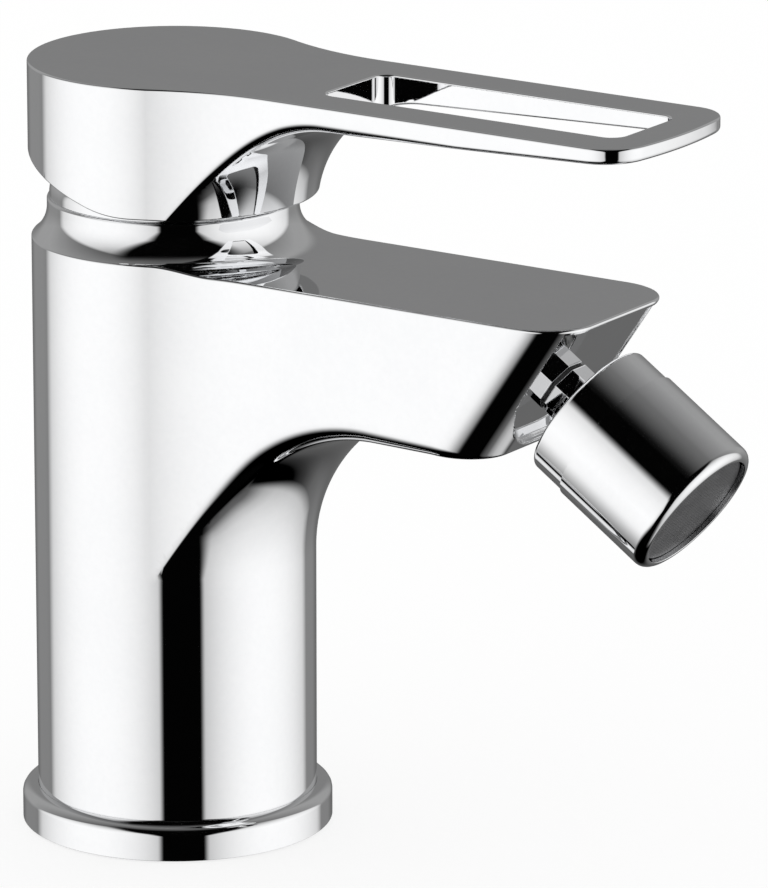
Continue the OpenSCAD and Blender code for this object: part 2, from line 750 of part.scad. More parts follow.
module handle_outside() {
  relief = 2 * cap_r;
  difference() {
    translate([0, 0, skirt_low]) linear_extrude(cap_h) intersection() {
      arm_plan(cap_r, lever_half_w, lever_reach, lever_blend_r);
      rounded_front(lever_reach, lever_half_w, lever_corner_r, 2 * cap_r);
    }
    rotate_extrude() under_lever_section();
    translate([relief_start, 0, skirt_low]) rotate([0, relief_angle, 0])
      translate([-relief, -relief, -relief]) cube([relief, 2 * relief, relief]);
    translate([0, 0, skirt_low]) linear_extrude(cap_h + over)
      rounded_slot(slot_start, slot_end, slot_half_w, slot_corner_r);
  }
}

module handle() {
  socket_w = stem_w + fixed_gap;
  color(chrome) difference() {
    handle_outside();
    difference() {
      translate([0, 0, skirt_low - over]) cylinder(r = cavity_r, h = cavity_top - skirt_low + over);
      translate([0, 0, boss_low]) cylinder(r = boss_r, h = cap_top - boss_low);
      translate([-cap_r, 0, screw_z]) rotate([0, 90, 0]) cylinder(r = screw_tube_r, h = cap_r);
    }
    translate([-socket_w / 2, -socket_w / 2, boss_low - over])
      cube([socket_w, socket_w, stem_top - boss_low + over]);
    translate([-cap_r - over, 0, screw_z]) rotate([0, 90, 0]) cylinder(r = screw_r + fixed_gap / 2, h = cap_r + over);
    translate([-cap_r - over, 0, screw_z]) rotate([0, 90, 0])
      cylinder(r = plug_r + fixed_gap / 2, h = cap_wall + over);
  }
}

module handle_screw() {
  color(steel) translate([-stem_w / 2 - screw_len, 0, screw_z]) rotate([0, 90, 0]) difference() {
    cylinder(r = screw_r, h = screw_len);
    translate([0, 0, -over]) cylinder(r = screw_key_r, h = screw_key_depth + over, $fn = 6);
  }
}

module index_plug() {
  color(grey_plastic) translate([cap_wall - cap_r - plug_len, 0, screw_z]) rotate([0, 90, 0])
    cylinder(r = plug_r, h = plug_len);
}

module ball_stem() {
  low = washer_h - recess_depth;
  high = nozzle_gap - flats_room;
  color(chrome) on_nozzle_axis() rotate([0, 0, 180 / flats]) difference() {
    union() {
      translate([0, 0, -recess_depth - thread_len + over]) cylinder(r = thread_r, h = thread_len);
      intersection() {
        translate([0, 0, low]) cylinder(r = flats_r, h = high - low, $fn = flats);
        union() {
          translate([0, 0, low]) cylinder(r = flats_r, h = high - low - flats_chamfer);
          translate([0, 0, high - flats_chamfer])
            cylinder(r1 = flats_r, r2 = flats_r - flats_chamfer, h = flats_chamfer);
        }
      }
      translate([0, 0, low]) cylinder(r = stem_neck_r, h = ball_s - low);
      translate([0, 0, ball_s]) sphere(r = ball_r);
    }
    translate([0, 0, -2 * thread_len]) cylinder(r = stem_bore_r, h = 4 * thread_len + nozzle_len);
  }
}

module stem_washer() {
  color(rubber) on_nozzle_axis() translate([0, 0, -recess_depth])
    tube(flats_r - washer_inset, thread_r + fixed_gap, washer_h);
}

// Zone of a ball-shaped shell between two angles from the axis that points back to the spout
module seat_zone(inner_r, outer_r, from_angle, to_angle) {
  far = 3 * outer_r;
  rotate_extrude() intersection() {
    difference() {
      circle(r = outer_r);
      circle(r = inner_r);
    }
    polygon([[0, 0], [far * sin(from_angle), -far * cos(from_angle)], [far * sin(to_angle), -far * cos(to_angle)]]);
  }
}

module upper_seat() {
  color(white_plastic) on_nozzle_axis() translate([0, 0, ball_s])
    seat_zone(seat_in_r, seat_out_r, seat_top_angle, seat_low_angle);
}

module lower_seat() {
  color(white_plastic) on_nozzle_axis() difference() {
    translate([0, 0, lower_seat_s]) cylinder(r = lower_seat_r, h = lower_seat_end - lower_seat_s);
    translate([0, 0, ball_s]) sphere(r = seat_in_r);
    translate([0, 0, ball_s]) cylinder(r = lower_seat_hole_r, h = nozzle_len);
  }
}

// Rectangle from the axis out to a wall, with its outer corner at the given end rounded
module edged_section(r, low, high, low_edge, high_edge) {
  translate([0, low + low_edge]) square([r, high - low - low_edge - high_edge]);
  translate([0, low]) square([r - max(low_edge, high_edge), high - low]);
  if (low_edge > 0) translate([r - low_edge, low + low_edge]) circle(r = low_edge);
  if (high_edge > 0) translate([r - high_edge, high - high_edge]) circle(r = high_edge);
}

module nozzle_sleeve() {
  mouth_end = ball_s - sqrt(pow(socket_r, 2) - pow(mouth_r, 2));
  color(chrome) on_nozzle_axis() rotate_extrude() difference() {
    union() {
      edged_section(sleeve_r, nozzle_gap, sleeve_s, sleeve_edge_r, 0);
      translate([0, sleeve_s - over]) square([spigot_r, spigot_s - sleeve_s + over]);
    }
    translate([0, nozzle_gap - over]) square([mouth_r, mouth_end - nozzle_gap + 2 * over]);
    intersection() {
      translate([0, ball_s]) circle(r = socket_r);
      translate([0, mouth_end]) square([2 * socket_r, nozzle_len]);
    }
    translate([0, ball_s]) square([spigot_bore_r, nozzle_len]);
  }
}

module nozzle_shell() {
  color(chrome) on_nozzle_axis() rotate_extrude() difference() {
    edged_section(shell_r, sleeve_s, outlet_s, 0, outlet_edge_r);
    translate([0, sleeve_s - over]) square([spigot_r + fixed_gap, spigot_s - sleeve_s + over + fixed_gap]);
    translate([0, sleeve_s]) square([spigot_bore_r, web_s - sleeve_s]);
    translate([0, sleeve_s]) square([web_hole_r, nozzle_len]);
    translate([0, chamber_s]) square([outlet_r, nozzle_len]);
  }
}

module jet_washer() {
  color(rubber) on_nozzle_axis() translate([0, 0, chamber_s]) tube(jet_r, web_hole_r, jet_washer_h);
}

module jet_former() {
  color(grey_plastic) on_nozzle_axis() difference() {
    translate([0, 0, jet_low]) cylinder(r = jet_r, h = jet_end - jet_low);
    translate([0, 0, jet_end - screen_h]) cylinder(r = screen_r + fixed_gap, h = screen_h + over);
    translate([0, 0, jet_low - over]) cylinder(r = screen_r - screen_ledge_w, h = jet_end);
  }
}

module jet_screen() {
  color(steel) on_nozzle_axis() translate([0, 0, jet_end - screen_h]) difference() {
    cylinder(r = screen_r, h = screen_h);
    for (ring = [0:screen_rings], spot = [0:max(0, 6 * ring - 1)])
      rotate([0, 0, ring == 0 ? 0 : 60 * spot / ring]) translate([ring * screen_pitch, 0, -over])
        cylinder(r = screen_hole_r, h = screen_h + 2 * over);
  }
}

base_ring();
base_gasket();
body_shell();
inlet_block();
riser_cold();
riser_hot();
cartridge_cup();
cup_seals();
port_seals();
cartridge_base();
fixed_disc();
moving_disc();
disc_carrier();
cartridge_housing();
stem_holder();
pivot_pin();
stem();
cartridge_nut();
cover_dome();
handle();
handle_screw();
index_plug();
ball_stem();
stem_washer();
upper_seat();
lower_seat();
nozzle_sleeve();
nozzle_shell();
jet_washer();
jet_former();
jet_screen();
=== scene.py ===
import json
import math

import bpy
import numpy as np
from mathutils import Matrix


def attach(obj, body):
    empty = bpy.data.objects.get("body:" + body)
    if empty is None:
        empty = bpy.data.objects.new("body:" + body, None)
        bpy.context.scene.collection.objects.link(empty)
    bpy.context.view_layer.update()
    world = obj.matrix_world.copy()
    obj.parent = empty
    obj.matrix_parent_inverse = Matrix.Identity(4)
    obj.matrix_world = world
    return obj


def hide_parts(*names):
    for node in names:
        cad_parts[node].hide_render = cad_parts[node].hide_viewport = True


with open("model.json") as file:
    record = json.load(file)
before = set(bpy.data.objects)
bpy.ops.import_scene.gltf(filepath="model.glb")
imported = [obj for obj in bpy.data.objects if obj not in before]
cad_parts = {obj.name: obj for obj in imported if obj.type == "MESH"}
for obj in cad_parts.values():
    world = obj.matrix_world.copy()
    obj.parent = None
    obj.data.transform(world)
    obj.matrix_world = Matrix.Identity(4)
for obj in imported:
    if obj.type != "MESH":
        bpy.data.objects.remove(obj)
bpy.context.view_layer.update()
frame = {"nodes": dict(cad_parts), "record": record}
slotOf = {part["node"]: part["material_slot"] for part in frame["record"]["subparts"]}
scene = bpy.context.scene
print("frame loaded:", len(frame["nodes"]), "nodes")


# A socket that takes part in Python expressions, for shaders and geometry trees.
class Wire:
    def __init__(self, tree, socket=None):
        self.tree, self.socket = tree, socket

    def node(self, kind, settings=None, sockets=None, out=0):
        made = self.tree.nodes.new(kind)
        for key, value in (settings or {}).items():
            if key == "stops":  # colour ramp: (place, grey)
                ramp = made.color_ramp.elements
                while len(ramp) < len(value):
                    ramp.new(1.0)
                for stop, (place, grey) in zip(ramp, value):
                    stop.position, stop.color = place, (grey, grey, grey, 1.0)
            else:
                setattr(made, key, value)
        for key, value in (sockets or {}).items():
            for item in value if isinstance(value, list) else [value]:
                if isinstance(item, Wire):
                    self.tree.links.new(item.socket, made.inputs[key])
                else:
                    made.inputs[key].default_value = item
        return Wire(self.tree, made.outputs[out]) if made.outputs else made

    def math(self, operation, *values):
        return self.node("ShaderNodeMath", {"operation": operation}, dict(enumerate(values)))

    def __add__(self, other): return self.math("ADD", self, other)
    def __radd__(self, other): return self.math("ADD", other, self)
    def __sub__(self, other): return self.math("SUBTRACT", self, other)
    def __rsub__(self, other): return self.math("SUBTRACT", other, self)
    def __mul__(self, other): return self.math("MULTIPLY", self, other)
    def __rmul__(self, other): return self.math("MULTIPLY", other, self)
    def __truediv__(self, other): return self.math("DIVIDE", self, other)
    def __rtruediv__(self, other): return self.math("DIVIDE", other, self)
    def __pow__(self, other): return self.math("POWER", self, other)
    def __neg__(self): return self.math("MULTIPLY", self, -1.0)
    def __abs__(self): return self.math("ABSOLUTE", self)

    def smooth(self, low, high, start=0.0, end=1.0):
        return self.node("ShaderNodeMapRange", {"interpolation_type": "SMOOTHSTEP"},
                         {0: self, 1: low, 2: high, 3: start, 4: end})

    def vector(self, x, y, z):
        return self.node("ShaderNodeCombineXYZ", None, {0: x, 1: y, 2: z})

    def parts(self):
        made = self.node("ShaderNodeSeparateXYZ", None, {0: self})
        return [Wire(self.tree, out) for out in made.socket.node.outputs]

    def tint(self, low, high):  # mixes two colours by this value
        colours = {0: self, 6: (*low, 1), 7: (*high, 1)}
        return self.node("ShaderNodeMix", {"data_type": "RGBA"}, colours, 2)


# Camera, fitted to the photograph's edges.
cameraSizes = {"azimuth": 33.69, "elevation": 15.63, "distance": 1.1739, "target": (0.04007, 0.0, 0.06802),
               "sensor": 36.0, "focalPixels": 7497, "imageHeight": 888}


def placeCamera(sizes):
    a, e = math.radians(sizes["azimuth"]), math.radians(sizes["elevation"])
    back = np.array([math.sin(a) * math.cos(e), -math.cos(a) * math.cos(e), math.sin(e)])
    right = np.array([math.cos(a), math.sin(a), 0.0])
    lens = bpy.data.cameras.new("camera")
    lens.sensor_fit, lens.sensor_height = "VERTICAL", sizes["sensor"]
    lens.lens = sizes["focalPixels"] * sizes["sensor"] / sizes["imageHeight"]
    eye = bpy.data.objects.new("camera", lens)
    turn = np.stack([right, np.cross(back, right), back], 1)
    eye.matrix_world = (Matrix.Translation(np.array(sizes["target"]) + sizes["distance"] * back)
                        @ Matrix(turn.tolist()).to_4x4())
    scene.collection.objects.link(eye)
    scene.camera = eye


placeCamera(cameraSizes)
scene.view_settings.view_transform = "Standard"
print("camera placed")


# Studio: a pale floor, and two broad soft panels that only reflections show. Angles are in degrees.
studio = {"azimuth": 33.69,  # direction of the dark gap between the two panels
          "gapFloor": -20.0, "gapLow": -15.0, "gapHigh": 10.0,  # narrow from the first to the second height
          "gapLeft": (11.5, 0.35, 0.65, 0.5),  # half its width, then its growth above, high above and below
          "gapRight": (23.0, 0.42, 0.6, 0.25),
          "gapSoft": (2.5, 0.16), "gapRoof": (54.0, 72.0), "gapShade": 0.0008,
          "panels": ((-72.0, 1, (0.38, 3.0), (0.55, 2.2)),  # centre, side, falls towards the gap and the back
                     (77.0, -1, (0.55, 2.2), (0.46, 2.2))),
          "panelHalf": 58.0, "panelTop": 1.04, "leftFloor": (27.0, 54.0),
          "panelBack": ((119.0, 0.4, 1.0, 0.0), (127.0, 0.45, 0.8, 0.9)), "backDeep": 30.0, "backSoft": 8.0,
          "panelLean": (88.0, 0.004), "leanHeight": (30.0, 55.0),  # lifts each panel's lower inner corner
          "panelHeight": ((-75, 0.0), (-66, 0.12), (-60, 0.5), (-55, 0.67), (-45, 0.8), (-25, 0.95), (-12, 1.0),
                          (0, 0.97), (10, 0.92), (20, 0.82), (30, 0.68), (40, 0.47), (50, 0.22), (60, 0.0)),
          "rearHeight": ((-50, 0.0), (-45, 0.12), (-38, 0.36), (-20, 0.65), (0, 1.0)),
          "roof": 0.16, "roofLean": 0.26, "rearTop": 0.33, "rearFade": (150.0, 166.0, 1.0, 0.65),
          "floorSize": 6.0, "floorDrop": 0.0003, "floorColour": (0.985, 0.985, 0.985), "floorGlow": 0.8}


def lightStudio(s):
    world = bpy.data.worlds.new("studio")
    scene.world = world
    world.use_nodes = True
    tree = world.node_tree
    tree.nodes.clear()
    base = Wire(tree)
    x, y, z = base.node("ShaderNodeTexCoord").parts()
    a = math.radians(s["azimuth"])
    front = x * math.sin(a) + y * -math.cos(a)
    azimuth = base.math("ARCTAN2", x * math.cos(a) + y * math.sin(a), front) * math.degrees(1)
    height = base.math("ARCSINE", z) * math.degrees(1)
    over = base.math("MAXIMUM", height - s["gapLow"], 0.0)
    high = base.math("MAXIMUM", height - s["gapHigh"], 0.0)
    under = base.math("MAXIMUM", s["gapFloor"] - height, 0.0)

    def ramp(level, stops):
        places = [((stop + 90) / 180, shade) for stop, shade in stops]
        return base.node("ShaderNodeValToRGB", {"stops": places}, {0: level / 180.0 + 0.5})

    def fall(off, depth, power):
        return base.node("ShaderNodeClamp", None, {0: off}) ** power * depth

    def side(centre, turn, toGap, toBack):
        off = (azimuth - centre) * (turn / s["panelHalf"])
        return s["panelTop"] - fall(off, *toGap) - fall(-off, *toBack)

    def edge(start, perOver, perHigh, perUnder):
        return over * perOver + high * perHigh + under * perUnder + start

    soft = (over + under) * s["gapSoft"][1] + s["gapSoft"][0]
    gap = ((azimuth + edge(*s["gapLeft"])) / soft).smooth(-1, 1)
    gap = gap * ((edge(*s["gapRight"]) - azimuth) / soft).smooth(-1, 1)
    gap = gap * height.smooth(*s["gapRoof"], 1, 0)
    left, right = side(*s["panels"][0]), side(*s["panels"][1])
    onRight = azimuth.smooth(-1, 1)
    lean = base.math("MAXIMUM", s["panelLean"][0] - abs(azimuth), 0.0)
    lifted = height - lean * lean * s["panelLean"][1] * (-height).smooth(*s["leanHeight"])
    panel = (left + onRight * (right - left)) * ramp(lifted, s["panelHeight"])
    panel = panel * base.math("MAXIMUM", onRight, (-height).smooth(*s["leftFloor"], 1, 0))
    sunk, risen = base.math("MAXIMUM", -height, 0.0), base.math("MAXIMUM", height, 0.0)
    deep = base.math("MAXIMUM", -height - s["backDeep"], 0.0)
    for turn, (start, perSunk, perRisen, perDeep) in zip((-1, 1), s["panelBack"]):
        past = azimuth * turn - start - sunk * perSunk + risen * perRisen + deep * perDeep
        panel = panel * past.smooth(-s["backSoft"], s["backSoft"], 1, 0)
    rear = base.math("MINIMUM", s["roof"] - front * s["roofLean"], s["rearTop"])
    rear = rear * ramp(height, s["rearHeight"]) * abs(azimuth).smooth(*s["rearFade"])
    shade = base.math("MAXIMUM", panel, rear)
    shade = shade + gap * (s["gapShade"] - shade)
    glossy = base.node("ShaderNodeLightPath", out="Is Glossy Ray")
    level = 1.0 + glossy * (shade - 1.0)
    grey = base.node("ShaderNodeCombineColor", None, {0: level, 1: level, 2: level})
    light = base.node("ShaderNodeBackground", None, {"Color": grey})
    base.node("ShaderNodeOutputWorld", None, {"Surface": light})


def layFloor(s):
    half = s["floorSize"] / 2
    mesh = bpy.data.meshes.new("floor")
    corners = ((-half, -half), (half, -half), (half, half), (-half, half))
    mesh.from_pydata([(x, y, -s["floorDrop"]) for x, y in corners], [], [(0, 1, 2, 3)])
    floor = bpy.data.objects.new("floor", mesh)
    scene.collection.objects.link(floor)
    paint = bpy.data.materials.new("floorPaint")
    paint.use_nodes = True
    tree = paint.node_tree
    tree.nodes.clear()
    base = Wire(tree)
    white = base.node("ShaderNodeBsdfDiffuse", None, {"Color": (*s["floorColour"], 1)})
    glow = base.node("ShaderNodeEmission", None, {"Color": (1, 1, 1, 1)})
    direct = base.node("ShaderNodeLightPath", out="Is Camera Ray")
    white = base.node("ShaderNodeMixShader", None, {0: direct * s["floorGlow"], 1: white, 2: glow})
    under = base.node("ShaderNodeNewGeometry", out="Backfacing")
    glossy = base.node("ShaderNodeLightPath", out="Is Glossy Ray")
    hidden = base.math("MAXIMUM", under, glossy)  # reflections and a view from below see through the floor
    clear = base.node("ShaderNodeBsdfTransparent")
    mix = base.node("ShaderNodeMixShader", None, {0: hidden, 1: white, 2: clear})
    base.node("ShaderNodeOutputMaterial", None, {"Surface": mix})
    mesh.materials.append(paint)


lightStudio(studio)
layFloor(studio)
print("studio ready")


# Finishes: two colours, how metallic, two roughnesses, and the scales of the clouding and the grain.
finishes = {
    "chrome": {"low": (0.93, 0.935, 0.945), "high": (0.96, 0.963, 0.97), "metal": 1.0, "rough": (0.015, 0.035),
               "cloud": 70.0, "grain": 900.0, "bump": 0.0},
    "brass": {"low": (0.7, 0.53, 0.25), "high": (0.82, 0.66, 0.36), "metal": 1.0, "rough": (0.22, 0.4),
              "cloud": 160.0, "grain": 2600.0, "bump": 0.08},
    # steel: grey metal colour, set darker than the bare metal as painted shade for the dim outlet screen
    "steel": {"low": (0.22, 0.22, 0.225), "high": (0.26, 0.26, 0.265), "metal": 1.0, "rough": (0.45, 0.55),
              "cloud": 300.0, "grain": 3000.0, "bump": 0.05},
    "rubber": {"low": (0.035, 0.035, 0.035), "high": (0.065, 0.065, 0.064), "metal": 0.0, "rough": (0.55, 0.75),
               "cloud": 240.0, "grain": 4000.0, "bump": 0.2},
    "ceramic": {"low": (0.86, 0.85, 0.81), "high": (0.93, 0.92, 0.89), "metal": 0.0, "rough": (0.1, 0.2),
                "cloud": 400.0, "grain": 6000.0, "bump": 0.02},
    "white_plastic": {"low": (0.82, 0.82, 0.8), "high": (0.89, 0.89, 0.87), "metal": 0.0, "rough": (0.35, 0.5),
                      "cloud": 200.0, "grain": 3500.0, "bump": 0.06},
    "grey_plastic": {"low": (0.1, 0.1, 0.104), "high": (0.14, 0.14, 0.146), "metal": 0.0, "rough": (0.38, 0.55),
                     "cloud": 200.0, "grain": 3500.0, "bump": 0.08},
}
pattern = {"cloudShare": 0.6, "grainShare": 0.4, "contrast": (0.3, 0.7), "cloudDetail": 3.0, "grainDetail": 2.0,
           "bumpDepth": 0.0002}


def makeFinish(name, look):
    made = bpy.data.materials.new(name)
    made.use_nodes = True
    tree = made.node_tree
    tree.nodes.clear()
    base = Wire(tree)
    place = base.node("ShaderNodeTexCoord", out="Object")
    cloud = base.node("ShaderNodeTexNoise", None,
                      {"Vector": place, "Scale": look["cloud"], "Detail": pattern["cloudDetail"]})
    grain = base.node("ShaderNodeTexNoise", None,
                      {"Vector": place, "Scale": look["grain"], "Detail": pattern["grainDetail"]})
    mixed = cloud * pattern["cloudShare"] + grain * pattern["grainShare"]
    sockets = {"Base Color": mixed.smooth(*pattern["contrast"]).tint(look["low"], look["high"]),
               "Roughness": mixed.smooth(*pattern["contrast"], *look["rough"]), "Metallic": look["metal"]}
    if look["bump"]:
        sockets["Normal"] = base.node("ShaderNodeBump", None, {
            "Strength": look["bump"], "Distance": pattern["bumpDepth"], "Height": grain})
    coat = base.node("ShaderNodeBsdfPrincipled", None, sockets)
    base.node("ShaderNodeOutputMaterial", None, {"Surface": coat})
    return made


materials = {name: makeFinish(name, look) for name, look in finishes.items()}
for name, node in frame["nodes"].items():
    for slot in node.material_slots:
        slot.material = materials[slotOf[name]]
print("finishes ready:", len(materials))


# Solids as distance fields, in millimetres: a field is a depth and its normal at many points.
tiny = 1e-9  # least length that anything is divided by
leastSquare = 1e-12  # the same under a root
parallel = 1e-4  # faces nearer to parallel than this share no edge
farDown = -1e3  # below every piece, and deeper than any


def meet(a, b, r=0.0):  # both solids, their shared edge rounded by r
    first = a[0] >= b[0]
    depth, normal = np.where(first, a[0], b[0]), np.where(first[:, None], a[1], b[1])
    if np.any(np.asarray(r) > 0):
        lean = (a[1] * b[1]).sum(1)
        spread = np.maximum(1 - lean * lean, tiny)
        u, v = a[0] + r, b[0] + r
        p, q = (u - v * lean) / spread, (v - u * lean) / spread
        reach = np.sqrt(np.maximum((u * u + v * v - 2 * u * v * lean) / spread, leastSquare))
        edge = (p > 0) & (q > 0) & (spread > parallel)
        blend = (p[:, None] * a[1] + q[:, None] * b[1]) / reach[:, None]
        depth, normal = np.where(edge, reach - r, depth), np.where(edge[:, None], blend, normal)
    return depth, normal


def flip(a): return -a[0], -a[1]
def join(a, b, r=0.0): return flip(meet(flip(a), flip(b), r))
def cut(a, b, r=0.0): return meet(a, flip(b), r)


def plane(p, normal, point):  # solid behind a plane
    n = np.asarray(normal, float)
    return (p - np.asarray(point, float)) @ n, np.broadcast_to(n, p.shape)


def rod(p, start, along, radius):  # endless rod about any line
    q = p - np.asarray(start, float)
    q = q - (q @ along)[:, None] * np.asarray(along, float)
    far = np.maximum(np.linalg.norm(q, axis=1), tiny)
    return far - radius, q / far[:, None]


def post(p, radius): return rod(p, (0, 0, 0), np.array([0.0, 0.0, 1.0]), radius)
def below(p, z): return plane(p, (0, 0, 1), (0, 0, z))
def above(p, z): return plane(p, (0, 0, -1), (0, 0, z))


def flanks(p, half):  # between two upright sides
    turn = np.where(p[:, 1] < 0, -1.0, 1.0)
    return np.abs(p[:, 1]) - half, np.stack([0 * turn, turn, 0 * turn], 1)


def armPlan(p, headR, half, blendR):  # round head that runs out into a straight arm
    x, y, turn = p[:, 0], np.abs(p[:, 1]), np.where(p[:, 1] < 0, -1.0, 1.0)
    by = half + blendR
    bx = math.sqrt((headR + blendR) ** 2 - by ** 2)
    depth, normal = post(p, headR)
    near = np.maximum(np.hypot(x - bx, y - by), tiny)
    hollow = np.stack([(bx - x) / near, turn * (by - y) / near, 0 * x], 1)
    inside = x * by - y * bx > 0
    depth, normal = np.where(inside, blendR - near, depth), np.where(inside[:, None], hollow, normal)
    straight = flanks(p, half)
    return np.where(x > bx, straight[0], depth), np.where((x > bx)[:, None], straight[1], normal)


def noseField(p, face, half, r, low=farDown):  # front face with two round corners of the arm's width
    ahead = face[0] > -r
    nose = meet(face, flanks(p, half), r)
    depth = np.where(p[:, 2] > low, np.where(ahead, nose[0], face[0]), farDown)
    return depth, np.where(ahead[:, None], nose[1], face[1])


def settle(shape, points, limit, turns=7):  # moves points on to the surface
    for _ in range(turns):
        depth, normal = shape(points)
        points = points - np.clip(depth, -limit, limit)[:, None] * normal
    return points


def split(points, tris, marked, edges, owner):  # halves the marked edges of a triangle mesh
    middle = np.full(len(edges), -1)
    middle[marked] = len(points) + np.arange(marked.sum())
    added = points[edges[marked]].mean(1)
    m = middle[owner]
    count = (m >= 0).sum(1)
    made = [tris[count == 0]]
    for n, first in ((1, lambda f: f[:, 0]), (2, lambda f: f[:, 0] & f[:, 1])):
        for k in range(3):
            order = [k, (k + 1) % 3, (k + 2) % 3]
            rows = (count == n) & first((m >= 0)[:, order])
            t, e = tris[rows][:, order], m[rows][:, order]
            if n == 1:
                made += [np.stack([t[:, 0], e[:, 0], t[:, 2]], 1),
                         np.stack([e[:, 0], t[:, 1], t[:, 2]], 1)]
            else:
                made += [np.stack([e[:, 0], t[:, 1], e[:, 1]], 1),
                         np.stack([t[:, 0], e[:, 0], e[:, 1]], 1),
                         np.stack([t[:, 0], e[:, 1], t[:, 2]], 1)]
    t, e = tris[count == 3], m[count == 3]
    for k in range(3):
        made.append(np.stack([t[:, k], e[:, k], e[:, k - 1]], 1))
    made.append(e)
    return added, np.concatenate(made)


def ruler(start, *runs):  # grid lines: each run is an end and a spacing
    lines = [start]
    for end, step in runs:
        lines += list(np.linspace(lines[-1], end, max(1, round((end - lines[-1]) / step)) + 1)[1:])
    return np.array(lines)


def gridCells(shape, axes):  # one corner point for every grid cell that the surface crosses
    sizes = [len(axis) for axis in axes]
    cells = [n - 1 for n in sizes]
    y, z = (grid.ravel() for grid in np.meshgrid(axes[1], axes[2], indexing="ij"))
    slices = [shape(np.stack([np.full(len(y), x), y, z], 1))[0] for x in axes[0]]
    depth = np.stack([level.reshape(sizes[1:]) for level in slices])
    spots, owners, quads = [], [], []
    for k in range(3):
        a, b = (k + 1) % 3, (k + 2) % 3
        here, there = np.take(depth, range(sizes[k] - 1), k), np.take(depth, range(1, sizes[k]), k)
        at = np.argwhere((here < 0) != (there < 0))
        d0, d1 = here[tuple(at.T)], there[tuple(at.T)]
        point = np.stack([axes[n][at[:, n]] for n in range(3)], 1)
        point[:, k] += (axes[k][at[:, k] + 1] - axes[k][at[:, k]]) * d0 / (d0 - d1)
        ring = []
        for da, db in ((-1, -1), (0, -1), (0, 0), (-1, 0)):
            cell = at.copy()
            cell[:, a] += da
            cell[:, b] += db
            ring.append((cell[:, 0] * cells[1] + cell[:, 1]) * cells[2] + cell[:, 2])
        ring = np.stack(ring, 1)
        spots.append(np.repeat(point, 4, 0))
        owners.append(ring.ravel())
        ring[d0 >= 0] = ring[d0 >= 0][:, ::-1]
        quads.append(ring)
    used, owners = np.unique(np.concatenate(owners), return_inverse=True)
    spots = np.concatenate(spots)
    where = np.stack(np.unravel_index(used, cells), 1)
    low = np.stack([axes[k][where[:, k]] for k in range(3)], 1)
    high = np.stack([axes[k][where[:, k] + 1] for k in range(3)], 1)
    return spots, owners, np.searchsorted(used, np.concatenate(quads)), low, high


meshSizes = {"rounds": 3, "bend": 5.0,  # halvings of an edge, and the turn in degrees that calls for one
             "shortest": 0.12, "hold": 0.08, "step": 1.0}


def skin(shape, axes, rounds=meshSizes["rounds"], bend=meshSizes["bend"], fine=None):  # a field's surface
    spots, owners, quads, low, high = gridCells(shape, axes)
    total = lambda values: np.bincount(owners, values)
    hits = total(np.ones(len(owners)))
    points = np.stack([total(spots[:, k]) / hits for k in range(3)], 1)
    depth, normal = shape(spots)
    offset = ((spots - depth[:, None] * normal - points[owners]) * normal).sum(1)
    pull = np.stack([total(normal[:, k] * offset) for k in range(3)], 1)
    stiff = [np.stack([total(normal[:, k] * normal[:, m]) for m in range(3)], 1) for k in range(3)]
    stiff = np.stack(stiff, 1) + meshSizes["hold"] * np.eye(3)
    points = points + np.linalg.solve(stiff, pull[:, :, None])[:, :, 0]  # draws points into corners
    points = settle(shape, np.clip(points, low, high), meshSizes["step"])
    far = [np.linalg.norm(points[quads[:, k]] - points[quads[:, k + 2]], axis=1) for k in (0, 1)]
    quads = np.where((far[0] <= far[1])[:, None], quads, np.roll(quads, -1, 1))
    tris = np.concatenate([quads[:, [0, 1, 2]], quads[:, [0, 2, 3]]])
    for _ in range(rounds):
        normal = shape(points)[1]
        sides = np.sort(np.stack([tris, np.roll(tris, -1, 1)], 2).reshape(-1, 2), 1)
        edges, owner = np.unique(sides, axis=0, return_inverse=True)
        ends = points[edges]
        marked = (normal[edges[:, 0]] * normal[edges[:, 1]]).sum(1) < math.cos(math.radians(bend))
        marked &= np.linalg.norm(ends[:, 0] - ends[:, 1], axis=1) > meshSizes["shortest"]
        if fine:
            marked &= fine(ends.mean(1))
        added, tris = split(points, tris, marked, edges, owner.reshape(-1, 3))
        points = np.concatenate([points, settle(shape, added, meshSizes["step"])])
    return points, tris, shape(points)[1]


metres = 0.001  # the shapes are worked out in millimetres


def newPiece(name, points, faces, normals, body, slotName, replaced):
    mesh = bpy.data.meshes.new(name)
    mesh.from_pydata((np.asarray(points) * metres).tolist(), [], [list(map(int, face)) for face in faces])
    mesh.shade_smooth()
    mesh.normals_split_custom_set_from_vertices(np.asarray(normals).tolist())
    mesh.materials.append(materials[slotName])
    piece = bpy.data.objects.new(name, mesh)
    scene.collection.objects.link(piece)
    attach(piece, body)
    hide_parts(*replaced)
    print("piece", name, len(faces), "faces")


# The nozzle's axis: its own +Z runs out of the spout's end face.
tilt = math.radians(34.0)
nozzleStart = np.array([74.5496, 0.0, 81.4893])
nozzleAlong = np.array([math.cos(tilt), 0.0, -math.sin(tilt)])
nozzleAcross = np.array([-math.sin(tilt), 0.0, -math.cos(tilt)])
nozzleTurn = np.stack([nozzleAcross, np.array([0.0, 1.0, 0.0]), nozzleAlong], 1)


